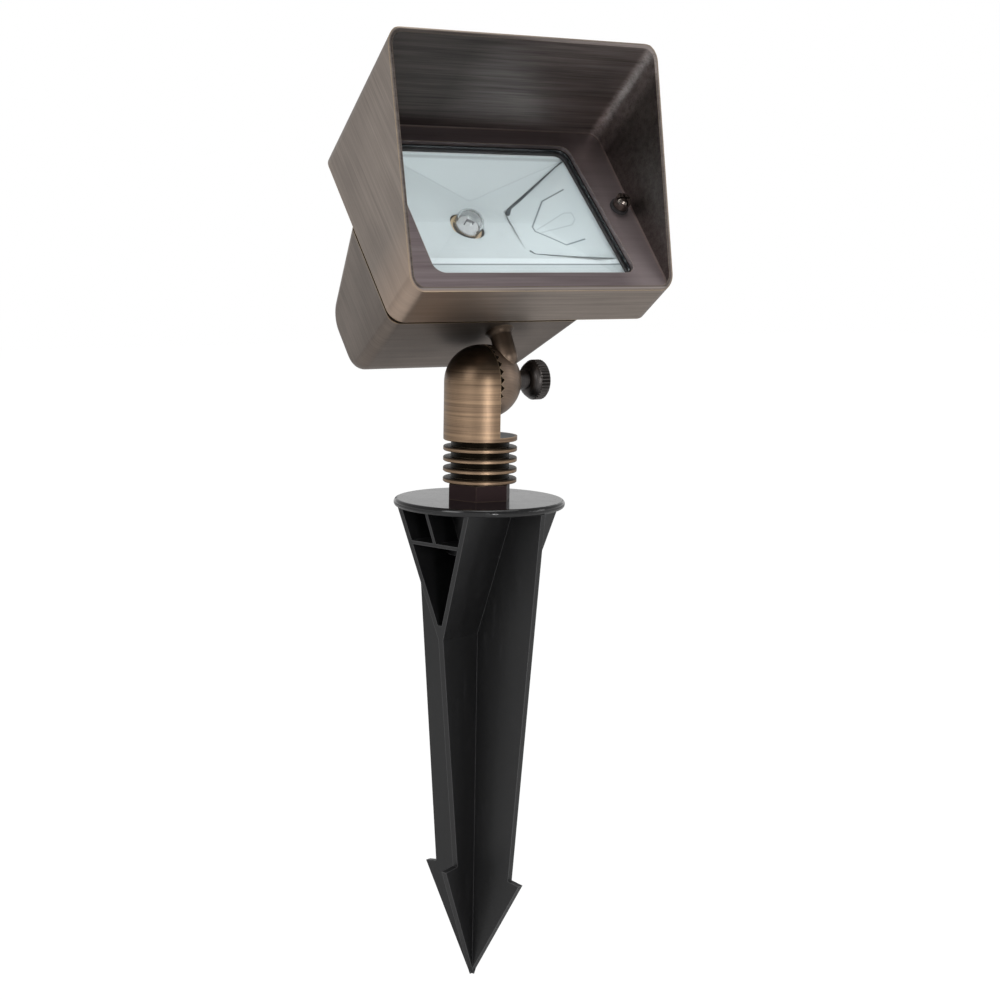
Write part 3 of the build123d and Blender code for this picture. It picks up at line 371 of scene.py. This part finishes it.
# Painted shade: the underside and the far side are painted darker.
underside = rise.below(underside_edge, underside_fade)
far_side = across.above(far_side_middle, far_side_fade)
colour = housing_finish.tint(tone, blackened_housing, rubbed_housing)
colour = housing_finish.tint(underside * 0.4, colour, underside_shade_brown)
colour = housing_finish.tint(far_side * 0.6, colour, far_side_shade_brown)
housing_finish.feed("Base Color", housing_finish.tint(rubbed * 0.5, colour, patina_gold))
housing_finish.feed("Roughness", 0.36 + 0.16 * fine)
housing_finish.relief(fine + 0.5 * bands, housing_relief)
housing_finish.onto(nodes["housing"])

# Shroud: hood and bezel in one brass casting that slips over the housing's plate. The outside is brushed round the
# girth, with a painted highlight on its near lower corner; the inside of the hood is darker with long strokes,
# in painted shade with painted light on the right of its roof; and the bezel's face is left nearly black-brown,
# with painted light on its right, painted shade along its top and a painted highlight where it meets the hood.
head_offset = 0.016
shroud_edge, shroud_relief, shroud_edge_radius = 0.0008, 0.000025, 0.0004
hood_start, hood_depth = 0.0253, 0.0786
inner_half_width, side_flare = 0.0607, 0.0024
inner_top, top_flare = 0.1010, 0.0008
inner_low, low_flare = 0.0208, 0.0046
inner_corner = 0.0060
inside_start, bezel_front, seam_front = 0.0440, 0.0477, 0.0480
blackened_shroud = (0.185, 0.156, 0.136)
rubbed_shroud = (0.330, 0.282, 0.245)
near_corner_highlight_gold = (0.500, 0.370, 0.285)
inside_shade_strokes = (0.046, 0.038, 0.036), (0.098, 0.084, 0.078)
inside_light_strokes = (0.160, 0.132, 0.128), (0.370, 0.325, 0.308)
bezel_strokes = (0.150, 0.120, 0.124), (0.215, 0.182, 0.186)
bezel_right_light = (0.330, 0.280, 0.280)
bezel_shade = (0.045, 0.036, 0.037)
seam_highlight_colour = (0.52, 0.46, 0.43)

shroud_finish = Finish("rubbed_bronze_shroud", Metallic=1.0)
point = shroud_finish.point()
ahead = shroud_finish.along(point, forward) - pivot.dot(forward)
rise = shroud_finish.along(point, upward) - pivot.dot(upward)
across = shroud_finish.along(point, (1, 0, 0)) - head_offset
outwards = (ahead - hood_start) / hood_depth
side_over = (abs(across) - outwards * side_flare - inner_half_width).larger(0.0)
top_over = rise - outwards * top_flare - inner_top
low_over = inner_low - outwards * low_flare - rise
level_over = top_over.larger(low_over).larger(0.0)
reach = (side_over * side_over + level_over * level_over) ** 0.5 - inner_corner
inside = reach.below(0.0, 0.0005) * ahead.above(inside_start, 0.0004)
face = ahead.below(bezel_front, 0.0003) * inside
ways = (across, rise, ahead)
fine = shroud_finish.strokes(ways, (26, 26, 2000))
bands = shroud_finish.strokes(ways, (12, 12, 430), 3.0)
long_strokes = shroud_finish.strokes(ways, (22, 1500, 1500))
wide_strokes = shroud_finish.strokes(ways, (14, 320, 320), 3.0)
clouds = shroud_finish.grain(point, 28, 4.0)
rubbed = shroud_finish.worn_edges(shroud_edge)
tone = (0.4 * fine + 0.35 * bands + 0.25 * clouds).above(0.5, 0.28)
# Painted highlight: the near lower corner of the outside is painted a lighter gold.
near_corner = across.below(-0.0330, 0.0420) * rise.below(0.0300, 0.0240)
outer = shroud_finish.tint(tone, blackened_shroud, rubbed_shroud)
outer = shroud_finish.tint(near_corner * (0.35 + 0.5 * bands), outer, near_corner_highlight_gold)
streaks = (0.5 * long_strokes + 0.5 * wide_strokes).above(0.5, 0.3)
# Painted shade and light inside the hood: a shaded copy of the strokes over most of it and a lit copy on the roof's
# right.
shaded_inside = shroud_finish.tint(streaks, *inside_shade_strokes)
lit_inside = shroud_finish.tint(streaks, *inside_light_strokes)
roof = rise.above(0.0960, 0.0060)
inner = shroud_finish.tint(0.24 + roof * (across.above(0.0100, 0.0700) - 0.20), shaded_inside, lit_inside)
bezel = shroud_finish.tint(streaks, *bezel_strokes)
# Painted light on the bezel's right and painted shade along its top.
bezel = shroud_finish.tint(across.above(0.0480, 0.0120) * 0.55, bezel, bezel_right_light)
bezel = shroud_finish.tint(rise.above(0.0940, 0.0120) * 0.6, bezel, bezel_shade)
colour = shroud_finish.tint(inside, outer, inner)
colour = shroud_finish.tint(face, colour, bezel)
# Painted highlight: a thin light line where the hood meets the bezel.
seam = ahead.band(seam_front, 0.0004, 0.0003) * inside
colour = shroud_finish.tint(seam * 0.55, colour, seam_highlight_colour)
shroud_finish.feed("Base Color", shroud_finish.tint(rubbed * (0.6 - 0.42 * inside), colour, patina_gold))
shroud_finish.feed("Roughness", 0.34 + 0.16 * fine + 0.12 * face)
shroud_finish.relief((fine + 0.6 * bands) * (1.0 - inside) + long_strokes * inside, shroud_relief)
shroud_finish.onto(nodes["shroud"])
break_edges(nodes["shroud"], shroud_edge_radius)

# Bezel screws: steel machine screws with thick round heads that hold the shroud to the housing's posts. They are
# browned with the shroud and shiny on their edges.
screw_edge, screw_relief, screw_edge_radius = 0.0004, 0.00003, 0.0002
browned_dark = (0.060, 0.050, 0.046)
browned_light = (0.22, 0.19, 0.17)
bare_steel = (0.62, 0.57, 0.52)

screw_finish = Finish("browned_steel", Metallic=1.0)
point = screw_finish.point()
turned = screw_finish.grain(point, 900, 4.0)
rubbed = screw_finish.worn_edges(screw_edge)
colour = screw_finish.tint(turned, browned_dark, browned_light)
screw_finish.feed("Base Color", screw_finish.tint(rubbed * 0.6, colour, bare_steel))
screw_finish.feed("Roughness", 0.12 + 0.18 * turned)
screw_finish.relief(turned, screw_relief)
screw_finish.onto(nodes["bezel_screws"])
break_edges(nodes["bezel_screws"], screw_edge_radius)

# Lens: a flat pane of clear tempered glass, held between two gaskets that the shroud presses on. It lets the sun
# through to the reflector behind it.
pane_colour = (0.96, 0.985, 0.985, 1.0)
pane = Finish("clear_pane", Roughness=0.015, IOR=1.47, Transmission_Weight=1.0, Base_Color=pane_colour)


def let_light_through(finish):
    """Shadow rays pass straight through a glass piece, as the sun's light does."""
    open_way = finish.add("ShaderNodeBsdfTransparent")
    shadow = finish.add("ShaderNodeLightPath", output="Is Shadow Ray")
    finish.surface(finish.add("ShaderNodeMixShader", {}, {0: shadow, 1: finish.lit(), 2: open_way}))


let_light_through(pane)
pane.onto(nodes["lens"])

# Lens gasket: a frame of black silicone between the pane and the back of the bezel, glossy where it is squeezed
# out beside the glass.
silicone_dark = (0.003, 0.004, 0.005)
silicone_light = (0.008, 0.010, 0.012)

gasket = Finish("black_silicone", Roughness=0.14)
wet = gasket.grain(gasket.point(), 260, 3.0)
gasket.feed("Base Color", gasket.tint(wet, silicone_dark, silicone_light))
gasket.onto(nodes["lens_gasket"])

# Reflector: a shallow trough of bright anodised aluminium sheet, folded to a hipped shape. Its rims stand up
# behind the lens and carry painted highlights with painted shadow lines beside them, its creases carry painted
# shade, it is painted lighter towards the top, and its slopes mirror the pale room softly.
head_rise, head_ahead = pivot.dot(upward), pivot.dot(forward)
trough_front, slope_of_sight = 0.0396, 0.615
low_rim, low_rim_width, low_line = 0.0350, 0.0028, 0.0330
high_rim, high_rim_width, high_line = 0.0985, 0.0036, 0.0947
fade_middle, fade_width = 0.0650, 0.0600
crease_width, sheet_relief = 0.0009, 0.0001
sheet_shade_low = (0.39, 0.435, 0.450)
sheet_light_high = (0.82, 0.90, 0.92)
sheet_haze = (0.78, 0.84, 0.86)
rim_highlight_low = (0.64, 0.69, 0.71)
rim_highlight_high = (0.96, 0.98, 0.99)
shadow_line_dark = (0.06, 0.08, 0.09)
crease_shade_dark = (0.24, 0.30, 0.34)

bright_sheet = Finish("bright_anodised_sheet")
point = bright_sheet.point()
rolled = bright_sheet.grain(point, (40, 1200, 1200), 4.0)
haze = bright_sheet.grain(point, 45, 3.0)
# Painted shade in the sheet's creases.
crease_shade = bright_sheet.worn_edges(crease_width, 0.002, 0.03)
drop = trough_front - (bright_sheet.along(point, forward) - head_ahead)
shown_rise = bright_sheet.along(point, upward) - head_rise - slope_of_sight * drop
# Painted highlights: light bands along the two rims, laid out as seen from the camera.
rim_highlights = shown_rise.band(low_rim, low_rim_width, 0.0004) + shown_rise.band(high_rim, high_rim_width, 0.0008)
# Painted shadow: thin dark lines beside the rims.
shadow_lines = shown_rise.band(low_line, 0.0004, 0.0004) + 0.4 * shown_rise.band(high_line, 0.0006, 0.0010)
# Painted light: the sheet is painted lighter towards the top.
upper = shown_rise.above(fade_middle, fade_width)
colour = bright_sheet.tint(upper, sheet_shade_low, sheet_light_high)
colour = bright_sheet.tint(0.2 * rolled + 0.25 * haze, colour, sheet_haze)
colour = bright_sheet.tint(rim_highlights * 0.8, colour, bright_sheet.tint(upper, rim_highlight_low, rim_highlight_high))
colour = bright_sheet.tint(shadow_lines * 0.75, colour, shadow_line_dark)
bright_sheet.feed("Base Color", bright_sheet.tint(crease_shade * 0.3, colour, crease_shade_dark))


def soften(finish, haze):
    """A satin sheet whose normals lean towards the aim, as its soft reflections make its slopes look."""
    finish.feed("Roughness", 0.42 + 0.12 * haze)
    finish.feed("Metallic", 0.12 + 0.1 * haze)
    true = finish.add("ShaderNodeNewGeometry", output="Normal")
    ways = {"vector_type": "NORMAL", "convert_from": "OBJECT", "convert_to": "WORLD"}
    aimed = finish.add("ShaderNodeVectorTransform", ways, {0: tuple(forward)})
    leaning = finish.add("ShaderNodeMix", {"data_type": "VECTOR"}, {0: 0.72, 4: true, 5: aimed}, 1)
    normal = finish.add("ShaderNodeVectorMath", {"operation": "NORMALIZE"}, {0: leaning})
    finish.relief(haze, sheet_relief, Normal=normal)


soften(bright_sheet, haze)
bright_sheet.onto(nodes["reflector"])

# End plate: a thin sheet over the trough's right end, cut free above and below, with painted shadow along the
# two dark slits there, and folded down on its left. Its middle is a service tab, cut on five sides, drawn as a
# dark line, with a pressed rib drawn as painted shade; the sheet is painted lighter towards the top.
plate_shade_low = (0.41, 0.460, 0.475)
plate_light_high = (0.72, 0.80, 0.82)
rib_shade_grey = (0.18, 0.23, 0.27)
tab_dark = (0.07, 0.10, 0.12)
slit_shadow_dark = (0.03, 0.045, 0.055)
plate_thickness = 0.0003
plate_corners = [
    (0.0064, 0.0412, 0.0366), (0.0514, 0.0360, 0.0399), (0.0478, 0.0958, 0.0399), (0.0084, 0.0702, 0.0314)]
upper_slit = [
    (0.0480, 0.0950), (0.0410, 0.0913), (0.0292, 0.0833), (0.0177, 0.0754), (0.0112, 0.0715), (0.0088, 0.0680)]
lower_slit = [(0.0086, 0.0429), (0.0101, 0.0408), (0.0273, 0.0384), (0.0506, 0.0360)]
tab_cut = [
    (0.0400, 0.0778), (0.0273, 0.0725), (0.0164, 0.0579), (0.0165, 0.0550), (0.0282, 0.0455), (0.0389, 0.0482)]
rib_line = [
    (0.0180, 0.0560), (0.0347, 0.0642), (0.0386, 0.0640), (0.0388, 0.0600), (0.0360, 0.0570), (0.0194, 0.0540)]

folded_sheet = Finish("folded_bright_sheet")
point = folded_sheet.point()
haze = folded_sheet.grain(point, 45, 3.0)
across = folded_sheet.along(point, (1, 0, 0)) - head_offset
rise = folded_sheet.along(point, upward) - head_rise


def cut(across, rise, path, first_half_width, last_half_width, soft):
    """1 along a path of points, in metres across and up, whose half width grows evenly from first to last."""
    total = None
    growth = (last_half_width - first_half_width) / (len(path) - 1)
    for number, ((x0, y0), (x1, y1)) in enumerate(zip(path, path[1:])):
        length = math.hypot(x1 - x0, y1 - y0)
        along = ((across - x0) * ((x1 - x0) / length) + (rise - y0) * ((y1 - y0) / length)) / length
        part_way = along.larger(0.0).smaller(1.0)
        aside_x = across - x0 - part_way * (x1 - x0)
        aside_y = rise - y0 - part_way * (y1 - y0)
        aside = (aside_x ** 2.0 + aside_y ** 2.0) ** 0.5
        half_width = first_half_width + growth * number + growth * part_way
        mark = (aside - half_width).below(0.0, soft)
        total = mark if total is None else total.larger(mark)
    return total


# Painted shadow along the two slits.
slit_shadows = cut(across, rise, upper_slit, 0.0003, 0.0011, 0.0004)
slit_shadows = slit_shadows.larger(cut(across, rise, lower_slit, 0.0006, 0.0002, 0.0004))
tab_line = cut(across, rise, tab_cut, 0.00035, 0.00035, 0.0005)
# Painted shade: the pressed rib is drawn as a shaded grey line.
rib_shade = cut(across, rise, rib_line, 0.0001, 0.0001, 0.0008)
# Painted light: the plate is painted lighter towards the top.
colour = folded_sheet.tint(rise.above(fade_middle, fade_width), plate_shade_low, plate_light_high)
colour = folded_sheet.tint(0.35 * haze, colour, sheet_haze)
colour = folded_sheet.tint(rib_shade * 0.6, colour, rib_shade_grey)
colour = folded_sheet.tint(tab_line * 0.85, colour, tab_dark)
folded_sheet.feed("Base Color", folded_sheet.tint(slit_shadows * 0.9, colour, slit_shadow_dark))
soften(folded_sheet, haze)


def sheet(name, corners, thickness, finish):
    """A four-sided sheet, flat or gently warped, given by its corners and thickened behind. Rides with the head."""
    mesh = bpy.data.meshes.new(name)
    count = 12
    first_left, first_right, last_right, last_left = (Vector(corner) for corner in corners)
    spots = []
    for row in range(count + 1):
        left = first_left.lerp(last_left, row / count)
        right = first_right.lerp(last_right, row / count)
        for column in range(count + 1):
            x, up, out = left.lerp(right, column / count)
            spots.append(pivot + Vector((head_offset + x, 0, 0)) + upward * up + forward * out)
    faces = []
    for row in range(count):
        for column in range(count):
            first = row * (count + 1) + column
            faces.append((first, first + 1, first + count + 2, first + count + 1))
    mesh.from_pydata(spots, [], faces)
    piece = bpy.data.objects.new(name, mesh)
    bpy.context.scene.collection.objects.link(piece)
    for face in mesh.polygons:
        face.use_smooth = True
    finish.onto(piece)
    solid = piece.modifiers.new("thickness", "SOLIDIFY")
    solid.thickness = thickness
    solid.offset = -1.0
    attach(piece, "head")
    return piece


folded_plate = sheet("end_plate_sheet", plate_corners, plate_thickness, folded_sheet)
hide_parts("end_plate")

# Lamp: a clear quartz capsule, pinched flat at its foot, where the quartz is frosted. A coiled tungsten filament
# hangs between two posts inside it.
lamp_base = pivot + forward * 0.03254 + upward * 0.0601
side_step = Vector((1, 0, 0))
post_spread, post_radius, left_post_height, right_post_height = 0.0021, 0.00028, 0.0043, 0.0031
coil_left, coil_right, coil_radius, coil_wire_radius = 0.0042, 0.0030, 0.0005, 0.00013
coil_turns, points_per_turn = 7, 10
seat_radius, seat_thickness, seat_ahead = 0.0052, 0.0006, 0.0007
tungsten_dark = (0.10, 0.10, 0.115)
tungsten_light = (0.30, 0.30, 0.32)
frost_dark = (0.60, 0.63, 0.65)
frost_light = (0.92, 0.94, 0.95)

quartz = Finish("clear_quartz", Roughness=0.0, IOR=1.46, Transmission_Weight=1.0)
let_light_through(quartz)
quartz.onto(nodes["lamp_capsule"])

tungsten = Finish("tungsten_wire", Metallic=1.0)
drawn = tungsten.grain(tungsten.point(), 4000, 2.0)
tungsten.feed("Base Color", tungsten.tint(drawn, tungsten_dark, tungsten_light))
tungsten.feed("Roughness", 0.25 + 0.2 * drawn)


def wire(name, path, radius, finish):
    """A round wire through the points, which rides with the head."""
    curve = bpy.data.curves.new(name, "CURVE")
    curve.dimensions = "3D"
    curve.bevel_depth = radius
    curve.bevel_resolution = 3
    curve.use_fill_caps = True
    line = curve.splines.new("POLY")
    line.points.add(len(path) - 1)
    for spot, place in zip(line.points, path):
        spot.co = (*place, 1.0)
    piece = bpy.data.objects.new(name, curve)
    bpy.context.scene.collection.objects.link(piece)
    finish.onto(piece)
    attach(piece, "head")
    return piece


for name, way, tall in (("left_post", -1, left_post_height), ("right_post", 1, right_post_height)):
    foot = lamp_base + side_step * way * post_spread
    wire(name, [foot, foot + forward * tall], post_radius, tungsten)
coil_start = lamp_base - side_step * post_spread + forward * coil_left
coil_end = lamp_base + side_step * post_spread + forward * coil_right
coil = []
for step in range(coil_turns * points_per_turn + 1):
    part_way = step / (coil_turns * points_per_turn)
    angle = 2 * math.pi * coil_turns * part_way
    around = forward * math.cos(angle) + upward * math.sin(angle)
    coil.append(coil_start.lerp(coil_end, part_way) + around * coil_radius)
wire("filament", coil, coil_wire_radius, tungsten)

frosted = Finish("frosted_quartz", Roughness=0.35)
frost = frosted.grain(frosted.point(), 900, 4.0)
frosted.feed("Base Color", frosted.tint(frost, frost_dark, frost_light))
seat = lamp_base + forward * seat_ahead
bpy.ops.mesh.primitive_cylinder_add(vertices=48, radius=seat_radius, depth=seat_thickness, location=seat)
press = bpy.context.object
press.name = "frosted_seat"
press.rotation_euler = forward.to_track_quat("Z", "Y").to_euler()
frosted.onto(press)
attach(press, "head")

# Lamp pins, holder bracket and the screws of both: nickel and zinc plated steel, pressed or headed, behind the
# reflector.
plated_dark = (0.42, 0.42, 0.41)
plated_light = (0.68, 0.68, 0.66)

plated = Finish("zinc_plated_steel", Metallic=1.0)
spangle = plated.grain(plated.point(), 300, 4.0)
plated.feed("Base Color", plated.tint(spangle, plated_dark, plated_light))
plated.feed("Roughness", 0.28 + 0.2 * spangle)
plated.onto(nodes["lamp_pins"], nodes["holder_bracket"], nodes["holder_screws"], nodes["bracket_screws"])

# Lamp holder: a block of fired steatite, tan and matt, that the capsule's pins plug into. Two screws fix it to
# its bracket.
steatite_dark = (0.50, 0.36, 0.20)
steatite_light = (0.68, 0.54, 0.34)
steatite_relief = 0.00008

steatite = Finish("steatite")
fired = steatite.grain(steatite.point(), 700, 5.0)
steatite.feed("Base Color", steatite.tint(fired, steatite_dark, steatite_light))
steatite.feed("Roughness", 0.62 + 0.2 * fired)
steatite.relief(fired, steatite_relief)
steatite.onto(nodes["lamp_holder"])

# Leads: nickel wire in woven glass sleeving, crimped in the holder and led down through the hollow nipple into
# the arm.
sleeving_dark = (0.55, 0.54, 0.50)
sleeving_light = (0.86, 0.85, 0.81)
weave_relief = 0.0001

sleeving = Finish("glass_sleeving", Roughness=0.8)
weave = sleeving.grain(sleeving.point(), 3500, 2.0)
sleeving.feed("Base Color", sleeving.tint(weave, sleeving_dark, sleeving_light))
sleeving.relief(weave, weave_relief)
sleeving.onto(nodes["lamp_leads"])

# Ground and surroundings for the picture: a pale floor just under the spike's tip and a white backdrop, lit by
# four softboxes. Camera rays see both as white, and the floor still takes a faint shadow.
floor_size, floor_gap, floor_shine, floor_share = 8.0, 0.0005, 1.1, 0.87
floor_colour = (0.86, 0.86, 0.86, 1.0)
white = (1.0, 1.0, 1.0, 1.0)
room_level, horizon_level, zenith_loss = 0.42, 0.75, 0.08

bpy.ops.mesh.primitive_plane_add(size=floor_size, location=(0, 0, cad_box[0][2] - floor_gap))
floor = bpy.context.object
floor.name = "studio_floor"
ground = Finish("studio_floor", Roughness=0.9, Base_Color=floor_colour)
glow = ground.add("ShaderNodeEmission", {}, {"Color": white, "Strength": floor_shine})
seen = ground.add("ShaderNodeLightPath", output="Is Camera Ray")
through = ground.add("ShaderNodeLightPath", output="Is Transmission Ray")
share = floor_share * (seen + through).above(0.5, 1.0)
ground.surface(ground.add("ShaderNodeMixShader", {}, {0: share, 1: ground.lit(), 2: glow}))
ground.onto(floor)

world = bpy.data.worlds.new("studio")
bpy.context.scene.world = world
world.use_nodes = True
sky = Nodes(world.node_tree)
backdrop = world.node_tree.nodes["Background"]
backdrop.inputs["Color"].default_value = white
seen = sky.add("ShaderNodeLightPath", output="Is Camera Ray")
through = sky.add("ShaderNodeLightPath", output="Is Transmission Ray")
glossy = sky.add("ShaderNodeLightPath", output="Is Glossy Ray")
direction = sky.add("ShaderNodeTexCoord", output="Generated")
shown = (seen + through).smaller(1.0)
horizon = (1.0 - abs(sky.add("ShaderNodeSeparateXYZ", {}, {0: direction}, "Z"))) ** 4.0
mirrored = glossy * (1.0 - shown) * (horizon_level * horizon - zenith_loss)
strength = room_level + (1.0 - room_level) * shown + mirrored
world.node_tree.links.new(strength.socket, backdrop.inputs["Strength"])


def softbox(name, place, target, size, watts):
    """A rectangular area lamp at a place, turned to a target."""
    light = bpy.data.lights.new(name, "AREA")
    light.shape = "RECTANGLE"
    light.size, light.size_y = size
    light.energy = watts
    lamp = bpy.data.objects.new(name, light)
    bpy.context.scene.collection.objects.link(lamp)
    lamp.location = place
    lamp.rotation_euler = (Vector(target) - Vector(place)).to_track_quat("-Z", "Y").to_euler()


softbox("left_softbox", (-1.45, -0.50, 0.8), (0, 0, 0.08), (0.7, 1.1), 9.0)
softbox("right_softbox", (1.35, -0.80, 0.55), (0, 0, 0.08), (0.5, 1.0), 2.4)
softbox("front_softbox", (-0.28, -1.47, 0.05), (0, 0, 0.02), (0.18, 0.8), 6.2)
softbox("top_softbox", (0.1, -0.2, 1.5), (0, 0, 0.1), (1.0, 1.0), 9.0)

# Camera: found from the photograph by fitting the flange, stem, shroud and lens to their outlines. It stands a
# metre off, to the left and a little above, and rolls by one degree.
turn = math.radians(-32.82)
dip = math.radians(7.92)
roll = math.radians(0.99)
camera_place = (-0.48895, -0.77511, 0.13027)
sensor_width = 36.0
focal_share = 2.0784

back = Vector((math.sin(turn) * math.cos(dip), -math.cos(turn) * math.cos(dip), math.sin(dip)))
level_right = (-back).cross(Vector((0, 0, 1))).normalized()
level_up = level_right.cross(-back)
right = math.cos(roll) * level_right + math.sin(roll) * level_up
top = -math.sin(roll) * level_right + math.cos(roll) * level_up
view = bpy.data.cameras.new("camera")
view.sensor_width = sensor_width
view.lens = sensor_width * focal_share
camera = bpy.data.objects.new("camera", view)
bpy.context.scene.collection.objects.link(camera)
camera.matrix_world = Matrix.Translation(camera_place) @ Matrix((right, top, back)).transposed().to_4x4()
bpy.context.scene.camera = camera

bpy.context.scene.view_settings.view_transform = "Standard"
